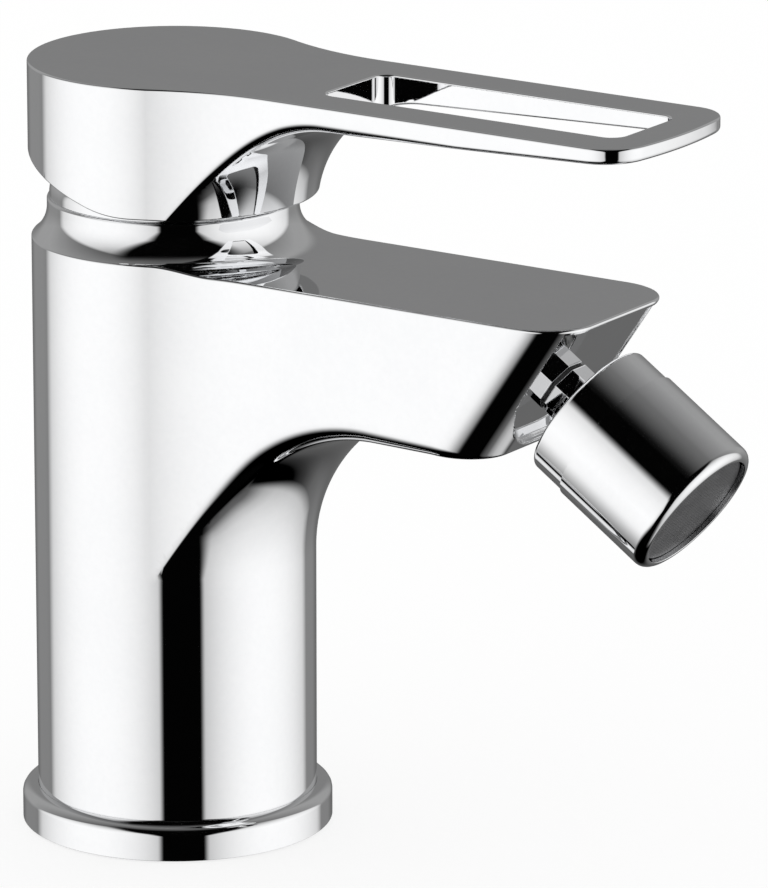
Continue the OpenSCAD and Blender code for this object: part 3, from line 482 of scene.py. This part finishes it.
# Body casting: column, neck and spout in one.
bodySizes = {"columnR": 22.5, "top": 95.5, "reach": 84.0, "half": 17.0, "under": 72.7, "cornerR": 8.0,
             "sideR": 40.0, "underR": 27.7, "neckR": 20.0, "neckTop": 103.0, "footR": 6.0, "low": 3.0,
             "boreR": 19.5, "boreTop": 92.0, "neckBoreR": 18.3,
             "pocketHalf": 13.2, "pocketLow": 73.7, "pocketTop": 94.5, "pocketCorner": 10.5, "pocketDepth": 1.6,
             "threadR": 4.0, "threadDepth": 10.3, "fineR": 18.7, "fineLow": 4.5,
             "crease": ((28.0, 60.0, 70.0), (4.2, 2.5, 1.1)),  # rounding under the spout, along its length
             "topEdge": 0.4, "rimEdge": 0.5, "lipEdge": 0.2, "floorEdge": 0.2}


def pocketField(p, s=bodySizes):  # recess in the spout's end face
    pocket = meet(flanks(p, s["pocketHalf"]), above(p, s["pocketLow"]), s["pocketCorner"])
    pocket = meet(pocket, below(p, s["pocketTop"]), s["floorEdge"])
    floor = flip(plane(p, nozzleAlong, nozzleStart - s["pocketDepth"] * nozzleAlong))
    return meet(pocket, floor, s["floorEdge"])


def bodyField(p, s=bodySizes):
    face = plane(p, nozzleAlong, (s["reach"], 0, s["top"]))
    nose = noseField(p, face, s["half"], s["cornerR"], s["under"] - s["underR"])
    plan = meet(armPlan(p, s["columnR"], s["half"], s["sideR"]), nose)
    hollow = join(post(p, s["columnR"]), above(p, s["under"]), s["underR"])
    solid = meet(plan, hollow, np.interp(p[:, 0], *s["crease"]))
    neck = meet(post(p, s["neckR"]), below(p, s["neckTop"]), s["rimEdge"])
    solid = meet(solid, join(below(p, s["top"]), neck, s["footR"]), s["topEdge"])
    solid = meet(solid, above(p, s["low"]), s["lipEdge"])
    bore = join(meet(post(p, s["boreR"]), below(p, s["boreTop"])), post(p, s["neckBoreR"]))
    solid = cut(solid, bore, s["lipEdge"])
    solid = cut(solid, pocketField(p), s["lipEdge"])
    thread = meet(rod(p, nozzleStart, nozzleAlong, s["threadR"]),
                  flip(plane(p, nozzleAlong, nozzleStart - s["threadDepth"] * nozzleAlong)))
    return cut(solid, thread, s["lipEdge"])


def outsideBody(p, s=bodySizes):  # where the mesh is made finer
    return (np.hypot(p[:, 0], p[:, 1]) > s["fineR"]) & (p[:, 2] > s["fineLow"])


bodyGrid = [ruler(-24.3, (58.0, 1.25), (64.0, 0.9), (86.0, 0.5)), ruler(-24.3, (24.3, 1.0)),
            ruler(1.2, (71.6, 1.35), (75.2, 0.36), (93.2, 0.9), (97.2, 0.4), (105.2, 0.8))]
newPiece("bodyCasting", *skin(bodyField, bodyGrid, fine=outsideBody), "mixer_body", "chrome", ["body_shell"])


# Lever handle: cap, skirt and slotted lever in one.
handleSizes = {"capR": 22.9, "half": 16.5, "blendR": 47.0, "reach": 94.5, "frontR": 75.0, "cornerR": 7.0,
               "top": 125.1, "low": 104.0, "tip": 2.4, "underTaper": 2.0, "underR": 20.0,
               "relief": 17.0, "reliefStart": 3.0, "reliefR": 25.0,  # the skirt's lower edge rises at the back
               "slot": (34.0, 87.9), "slotHalf": 8.75, "slotCorner": 2.5, "wallR": 20.4, "roof": 120.6,
               "bossR": 8.2, "bossLow": 109.0, "stemHalf": 3.55, "stemTop": 120.0, "screwZ": 117.5,
               "screwR": 2.95, "tubeR": 4.2, "plugR": 3.15, "plugEnd": -20.4,
               "sideEdge": ((32.0, 64.0), (2.2, 0.8)),  # rounding under the lever, from the cap forward
               "topEdge": 0.4, "skirtEdge": 0.35, "slotEdge": 0.4, "innerEdge": 0.4,
               "fineR": 20.0, "fineTop": 124.0}


def handleField(p, s=handleSizes):
    zero = np.zeros(len(p))
    face = rod(p, (s["reach"] - s["frontR"], 0, 0), np.array([0.0, 0.0, 1.0]), s["frontR"])
    plan = meet(armPlan(p, s["capR"], s["half"], s["blendR"]), noseField(p, face, s["half"], s["cornerR"]))
    skirt = post(p, s["capR"])
    slope = math.radians(s["underTaper"])
    rise = s["top"] - s["tip"] + math.tan(slope) * (skirt[0] + s["capR"] - s["reach"]) - p[:, 2]
    down = np.stack([zero, zero, zero - math.cos(slope)], 1)
    under = (rise * math.cos(slope), skirt[1] * math.sin(slope) + down)
    solid = meet(plan, join(skirt, under, s["underR"]), np.interp(p[:, 0], *s["sideEdge"]))
    solid = meet(solid, below(p, s["top"]), s["topEdge"])
    lean = math.radians(s["relief"])
    back = plane(p, (-math.sin(lean), 0, -math.cos(lean)), (s["reliefStart"], 0, s["low"]))
    solid = meet(solid, meet(above(p, s["low"]), back, s["reliefR"]), s["skirtEdge"])
    ends = meet(plane(p, (1, 0, 0), (s["slot"][1], 0, 0)), plane(p, (-1, 0, 0), (s["slot"][0], 0, 0)))
    solid = cut(solid, meet(ends, flanks(p, s["slotHalf"]), s["slotCorner"]), s["slotEdge"])
    along = np.array([1.0, 0.0, 0.0])
    axis = (0, 0, s["screwZ"])
    behind = plane(p, (1, 0, 0), (0, 0, 0))
    room = meet(post(p, s["wallR"]), below(p, s["roof"]), s["innerEdge"])
    room = cut(room, meet(post(p, s["bossR"]), above(p, s["bossLow"]), s["innerEdge"]))
    room = cut(room, meet(rod(p, axis, along, s["tubeR"]), behind))
    solid = cut(solid, room, s["skirtEdge"])
    square = meet(flanks(p, s["stemHalf"]), meet(plane(p, (1, 0, 0), (s["stemHalf"], 0, 0)),
                                                 plane(p, (-1, 0, 0), (-s["stemHalf"], 0, 0))))
    solid = cut(solid, meet(square, below(p, s["stemTop"])))
    solid = cut(solid, meet(rod(p, axis, along, s["screwR"]), behind))
    plug = meet(rod(p, axis, along, s["plugR"]), plane(p, (1, 0, 0), (s["plugEnd"], 0, 0)))
    return cut(solid, plug, s["skirtEdge"])


def outsideHandle(p, s=handleSizes):  # where the mesh is made finer
    return (np.hypot(p[:, 0], p[:, 1]) > s["fineR"]) | (p[:, 2] > s["fineTop"])


handleGrid = [ruler(-24.4, (30.0, 1.05), (96.5, 0.95)), ruler(-24.4, (24.4, 0.95)),
              ruler(102.3, (115.5, 0.85), (127.0, 0.55))]
newPiece("leverHandle", *skin(handleField, handleGrid, fine=outsideHandle), "lever", "chrome", ["handle"])


# Ball stem, made on the nozzle's axis.
stemSizes = {"flats": 8, "flatsR": 4.8, "low": -1.3, "high": 3.4, "chamfer": 0.7, "edge": 0.18,
             "threadR": 3.9, "threadLow": -9.3, "threadEdge": 0.4, "overlap": 0.5,
             "neckR": 3.3, "ballR": 7.0, "ballAt": 11.6, "ballBlend": 0.5, "boreR": 2.2,
             "rounds": 2, "bend": 8.0}


def stemField(p, s=stemSizes):
    apothem = s["flatsR"] * math.cos(math.pi / s["flats"])
    nut = meet(above(p, s["low"]), below(p, s["high"]))
    for k in range(s["flats"]):
        a = 2 * math.pi * k / s["flats"]
        way = (math.cos(a), math.sin(a), 0)
        nut = meet(nut, plane(p, way, np.array(way) * apothem), s["edge"])
    far = post(p, 0.0)
    slant = math.sqrt(0.5)
    cone = ((far[0] - s["flatsR"] + p[:, 2] - s["high"] + s["chamfer"]) * slant,
            (far[1] + np.array([0, 0, 1.0])) * slant)
    nut = meet(nut, cone, s["edge"])
    thread = meet(post(p, s["threadR"]), above(p, s["threadLow"]), s["threadEdge"])
    thread = meet(thread, below(p, s["low"] + s["overlap"]))
    neck = meet(meet(post(p, s["neckR"]), above(p, s["low"])), below(p, s["ballAt"]))
    q = p - np.array([0, 0, s["ballAt"]])
    out = np.maximum(np.linalg.norm(q, axis=1), tiny)
    ball = (out - s["ballR"], q / out[:, None])
    solid = join(join(join(nut, thread), neck, s["edge"]), ball, s["ballBlend"])
    return cut(solid, post(p, s["boreR"]), s["edge"])


stemGrid = [ruler(-8.05, (8.05, 0.45)), ruler(-8.05, (8.05, 0.45)), ruler(-12.3, (19.7, 0.45))]
stemPoints, stemFaces, stemNormals = skin(stemField, stemGrid, stemSizes["rounds"], stemSizes["bend"])
newPiece("ballStem", stemPoints @ nozzleTurn.T + nozzleStart, stemFaces, stemNormals @ nozzleTurn.T,
         "mixer_body", "chrome", ["ball_stem"])


# Turned pieces: a profile of corners (radius, height, rounding), run anticlockwise and spun about an axis.
poleR = 1e-6  # a smaller ring closes to one point


def profilePoints(corners, closed, arcSteps):
    count = len(corners)
    spots = []
    for k, corner in enumerate(corners):
        here = np.array(corner[:2], float)
        if not closed and k in (0, count - 1):
            ends = (here, corners[1][:2]) if k == 0 else (corners[k - 1][:2], here)
            step = np.subtract(ends[1], ends[0])
            step = step / np.linalg.norm(step)
            spots.append((*here, step[1], -step[0]))
            continue
        runs = [corner[2]] * 2 if np.isscalar(corner[2]) else corner[2]  # before and after the corner
        before = here - np.array(corners[k - 1][:2], float)
        after = np.array(corners[(k + 1) % count][:2], float) - here
        before, after = before / np.linalg.norm(before), after / np.linalg.norm(after)
        centre = here - before * runs[0] + after * runs[1]
        for turn in np.linspace(0, math.pi / 2, arcSteps):
            spot = centre - after * runs[1] * math.cos(turn) + before * runs[0] * math.sin(turn)
            step = after * runs[1] * math.sin(turn) + before * runs[0] * math.cos(turn)
            step = step / np.linalg.norm(step)
            spots.append((*spot, step[1], -step[0]))
    return np.array(spots)


def spin(corners, closed=True, segments=160, arcSteps=7):
    line = profilePoints(corners, closed, arcSteps)
    angle = np.linspace(0, 2 * math.pi, segments, endpoint=False)
    points, normals, rings = [], [], []
    for r, z, nr, nz in line:
        around = angle if r > poleR else angle[:1]
        rings.append(len(points) + np.arange(len(around)))
        points += [(r * math.cos(a), r * math.sin(a), z) for a in around]
        if r > poleR:
            normals += [(nr * math.cos(a), nr * math.sin(a), nz) for a in around]
        else:
            normals.append((0, 0, math.copysign(1, nz)))
    faces = []
    for k in range(len(rings) if closed else len(rings) - 1):
        low, high = rings[k], rings[(k + 1) % len(rings)]
        for n in range(segments):
            m = (n + 1) % segments
            if len(low) == 1:
                faces.append((low[0], high[m], high[n]))
            elif len(high) == 1:
                faces.append((low[n], low[m], high[0]))
            else:
                faces.append((low[n], low[m], high[m], high[n]))
    return np.array(points), faces, np.array(normals)


def turned(name, corners, body, slotName, replaced,
           matrix=np.eye(3), start=(0, 0, 0), closed=True, segments=160):
    points, faces, normals = spin(corners, closed, segments)
    points, normals = points @ matrix.T + np.array(start), normals @ matrix.T
    newPiece(name, points, faces, normals, body, slotName, replaced)


ringSizes = {"outer": 25.0, "top": 5.8, "wall": 4.1, "column": 22.52, "ledge": 3.0, "hole": 16.5,
             "groove": (17.5, 24.0), "grooveTop": 1.4, "holeEdge": 0.2, "grooveEdge": 0.15, "innerEdge": 0.1,
             "footEdge": 0.06, "lipWidth": 0.1, "lipEdge": 0.03, "segments": 200}


def makeRing(s):
    low, high = s["groove"]
    shoulder = (s["top"] - s["wall"], s["outer"] - s["column"] - s["lipWidth"])
    turned("baseRing", [(s["hole"], 0, s["holeEdge"]), (low, 0, s["grooveEdge"]),
                        (low, s["grooveTop"], s["innerEdge"]), (high, s["grooveTop"], s["innerEdge"]),
                        (high, 0, s["grooveEdge"]), (s["outer"], 0, s["footEdge"]),
                        (s["outer"], s["top"], shoulder), (s["column"], s["top"], s["lipEdge"]),
                        (s["column"], s["ledge"], s["innerEdge"]), (s["hole"], s["ledge"], s["holeEdge"])],
           "mixer_body", "chrome", ["base_ring"], segments=s["segments"])


gasketSizes = {"inner": 17.6, "outer": 23.9, "top": 1.4, "edge": 0.1,
               "ribs": 4, "ribDepth": 0.35, "ribEdge": 0.12,
               "ribFoot": (0.3, 0.7), "ribTip": (0.4, 0.6)}  # shares of a rib's width


def makeGasket(s):
    ribs = []
    width = (s["outer"] - s["inner"]) / s["ribs"]
    for k in range(s["ribs"]):  # sealing ribs under the ring
        r = s["inner"] + k * width
        foot, tip = ([r + share * width for share in s[key]] for key in ("ribFoot", "ribTip"))
        ribs += [(foot[0], s["ribDepth"], s["ribEdge"]), (tip[0], 0, s["ribEdge"]),
                 (tip[1], 0, s["ribEdge"]), (foot[1], s["ribDepth"], s["ribEdge"])]
    turned("baseGasket", [(s["inner"], s["ribDepth"], s["edge"]), *ribs, (s["outer"], s["ribDepth"], s["edge"]),
                          (s["outer"], s["top"], s["edge"]), (s["inner"], s["top"], s["edge"])],
           "mixer_body", "rubber", ["base_gasket"])


domeSizes = {"outer": 19.6, "low": 103.0, "top": 107.8, "shoulder": 4.0, "wall": 1.2, "hole": 14.2,
             "footEdge": 0.15, "holeEdge": 0.3, "innerEdge": 0.2}


def makeDome(s):
    inner, roof = s["outer"] - s["wall"], s["top"] - s["wall"]
    turned("coverDome", [(s["outer"], s["low"], s["footEdge"]), (s["outer"], s["top"], s["shoulder"]),
                         (s["hole"], s["top"], s["holeEdge"]), (s["hole"], roof, s["innerEdge"]),
                         (inner, roof, s["shoulder"] - s["wall"]), (inner, s["low"], s["footEdge"])],
           "mixer_body", "chrome", ["cover_dome"])


nozzleSizes = {"gap": 3.6, "sleeveR": 11.75, "sleeveEnd": 10.0, "sleeveEdge": 0.7,
               "mouthR": 8.0, "mouthEnd": 7.7, "mouthEdge": 0.25, "mouthInner": 0.2,
               "socketStart": 10.6, "socketEdge": 0.5, "boreR": 9.0, "spigotR": 9.95,
               "spigotEnd": 16.5, "spigotEdge": 0.2, "spigotFoot": 0.02, "jointEdge": 0.004, "clear": 0.1,
               "shellR": 12.05, "shellEdge": 0.05, "outlet": 27.6, "outletEdge": 1.6, "outletR": 10.25,
               "outletLip": 0.12, "webLow": 19.1, "webHigh": 20.6, "webHole": 6.5, "innerEdge": 0.1,
               "formerR": 10.15, "formerLow": 21.8, "formerEnd": 25.9, "formerHole": 8.25, "formerFoot": 0.2,
               "formerEdge": 0.3, "screenSeat": 9.35, "seatDepth": 0.7, "seatEdge": 0.15, "segments": 240}


def makeNozzle(s):
    axis = {"matrix": nozzleTurn, "start": nozzleStart, "segments": s["segments"]}
    inner = s["innerEdge"]
    turned("nozzleSleeve", [(s["mouthR"], s["gap"], s["mouthEdge"]), (s["sleeveR"], s["gap"], s["sleeveEdge"]),
                            (s["sleeveR"], s["sleeveEnd"], s["jointEdge"]),
                            (s["spigotR"], s["sleeveEnd"], s["spigotFoot"]),
                            (s["spigotR"], s["spigotEnd"], s["spigotEdge"]),
                            (s["boreR"], s["spigotEnd"], inner),
                            (s["boreR"], s["socketStart"], s["socketEdge"]),
                            (s["mouthR"], s["mouthEnd"], s["mouthInner"])],
           "nozzle", "chrome", ["nozzle_sleeve"], **axis)
    socketR, socketEnd = s["spigotR"] + s["clear"], s["spigotEnd"] + s["clear"]
    turned("nozzleShell", [(socketR, s["sleeveEnd"], s["shellEdge"]),
                           (s["shellR"], s["sleeveEnd"], s["jointEdge"]),
                           (s["shellR"], s["outlet"], s["outletEdge"]),
                           (s["outletR"], s["outlet"], s["outletLip"]), (s["outletR"], s["webHigh"], inner),
                           (s["webHole"], s["webHigh"], inner), (s["webHole"], s["webLow"], inner),
                           (s["boreR"], s["webLow"], inner), (s["boreR"], socketEnd, inner),
                           (socketR, socketEnd, inner)],
           "nozzle", "chrome", ["nozzle_shell"], **axis)
    seat = s["formerEnd"] - s["seatDepth"]
    turned("jetFormer", [(s["formerHole"], s["formerLow"], inner),
                         (s["formerR"], s["formerLow"], s["formerFoot"]),
                         (s["formerR"], s["formerEnd"], s["formerEdge"]),
                         (s["screenSeat"], s["formerEnd"], s["seatEdge"]), (s["screenSeat"], seat, inner),
                         (s["formerHole"], seat, inner)],
           "nozzle", "grey_plastic", ["jet_former"], **axis)


plugSizes = {"radius": 3.1, "length": 2.2, "back": -20.4, "height": 117.5, "footEdge": 0.15,
             "dome": 0.35, "domeEdge": 0.3, "crown": (0.55, 0.02, 0.8), "segments": 64}
plugTurn = np.array([[0, 0, -1.0], [0, 1, 0], [1, 0, 0]])  # its own +Z points out of the back of the cap


def makePlug(s):
    share, drop, crownEdge = s["crown"]  # the middle of the dome
    turned("indexPlug", [(0, 0, 0), (s["radius"], 0, s["footEdge"]),
                         (s["radius"], s["length"] - s["dome"], s["domeEdge"]),
                         (s["radius"] * share, s["length"] - drop, crownEdge), (0, s["length"], 0)],
           "lever", "grey_plastic", ["index_plug"], matrix=plugTurn,
           start=(s["back"], 0, s["height"]), closed=False, segments=s["segments"])


makeRing(ringSizes)
makeGasket(gasketSizes)
makeDome(domeSizes)
makeNozzle(nozzleSizes)
makePlug(plugSizes)


# The outlet's perforated screen, by geometry nodes. Its sizes are in metres.
def newTree(name, inputs):
    tree = bpy.data.node_groups.new(name, "GeometryNodeTree")
    for label, kind in inputs.items():
        tree.interface.new_socket(label, in_out="INPUT", socket_type=kind)
    tree.interface.new_socket("Geometry", in_out="OUTPUT", socket_type="NodeSocketGeometry")
    entry = tree.nodes.new("NodeGroupInput")
    return tree, [Wire(tree, out) for out in entry.outputs[:len(inputs)]]


def endTree(shape, material):
    whole = shape.node("GeometryNodeRealizeInstances", None, {0: shape})
    whole = shape.node("GeometryNodeSetMaterial", None, {"Geometry": whole, "Material": material})
    shape.node("NodeGroupOutput", None, {0: whole})


def growPiece(name, tree, values, body, replaced):
    host = bpy.data.objects.new(name, bpy.data.meshes.new(name + "Seed"))
    scene.collection.objects.link(host)
    maker = host.modifiers.new(name, "NODES")
    maker.node_group = tree
    for item in tree.interface.items_tree:
        if item.in_out == "INPUT":
            maker[item.identifier] = values[item.name]
    bpy.context.view_layer.update()
    depsgraph = bpy.context.evaluated_depsgraph_get()
    mesh = bpy.data.meshes.new_from_object(host.evaluated_get(depsgraph))
    host.modifiers.remove(maker)
    host.data = mesh
    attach(host, body)
    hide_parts(*replaced)
    print("piece", name, len(mesh.polygons), "faces")


plateSizes = {"boreSides": 6, "rimSides": 96, "margin": 1.4, "weld": 1e-6}  # the margin in hole pitches


def perforatedTree(s):
    number = "NodeSocketFloat"
    tree, (radius, pitch, hole, thickness, material) = newTree("perforatedPlate", {
        "Plate radius": number, "Hole pitch": number, "Hole radius": number, "Plate thickness": number,
        "Material": "NodeSocketMaterial"})
    base = Wire(tree)
    half = base.math("CEIL", radius / pitch)
    across = half * 2.0 + 1.0
    lattice = base.node("GeometryNodeMeshGrid", None, {
        "Size X": half * pitch * 2.0, "Size Y": half * pitch * math.sqrt(3),
        "Vertices X": across, "Vertices Y": across})
    x, y, z = base.node("GeometryNodeInputPosition").parts()
    odd = base.math("FLOORED_MODULO", base.math("ROUND", y / (pitch * math.sqrt(0.75))), 2.0)
    shift = base.vector(odd * pitch * 0.5, 0.0, 0.0)  # every other row stands half a pitch over
    lattice = base.node("GeometryNodeSetPosition", None, {"Geometry": lattice, "Offset": shift})
    rimOver = base.math("GREATER_THAN", base.math("SQRT", x * x + y * y), radius - pitch * s["margin"])
    lattice = base.node("GeometryNodeDeleteGeometry", None, {"Geometry": lattice, "Selection": rimOver})
    bore = base.node("GeometryNodeCurvePrimitiveCircle", None, {"Resolution": s["boreSides"], "Radius": hole})
    bores = base.node("GeometryNodeInstanceOnPoints", None, {"Points": lattice, "Instance": bore})
    bores = base.node("GeometryNodeRealizeInstances", None, {0: bores})
    rim = base.node("GeometryNodeCurvePrimitiveCircle", None, {"Resolution": s["rimSides"], "Radius": radius})
    lines = base.node("GeometryNodeJoinGeometry", None, {0: [bores, rim]})
    sheet = base.node("GeometryNodeFillCurve", None, {"Curve": lines})
    plate = base.node("GeometryNodeExtrudeMesh", None, {
        "Mesh": sheet, "Offset Scale": thickness, "Individual": False})
    back = base.node("GeometryNodeFlipFaces", None, {0: sheet})
    plate = base.node("GeometryNodeJoinGeometry", None, {0: [plate, back]})
    plate = base.node("GeometryNodeMergeByDistance", None, {"Geometry": plate, "Distance": s["weld"]})
    return tree, plate, material


screenSizes = {"Plate radius": 0.01008, "Plate thickness": 0.00045, "Hole pitch": 0.00045,
               "Hole radius": 0.00006}
screenLow = 26.3  # the plate's inner side, in millimetres along the nozzle


def makeScreen(sizes):
    tree, plate, material = perforatedTree(plateSizes)
    spot = (nozzleStart + screenLow * nozzleAlong) * metres
    placed = plate.node("GeometryNodeTransform", None, {
        "Geometry": plate, "Rotation": (0, math.pi / 2 + tilt, 0), "Translation": tuple(spot)})
    endTree(placed, material)
    # the screen's steel finish carries painted shade in its darkened colour
    growPiece("jetScreen", tree, {**sizes, "Material": materials["steel"]}, "nozzle", ["jet_screen"])


makeScreen(screenSizes)
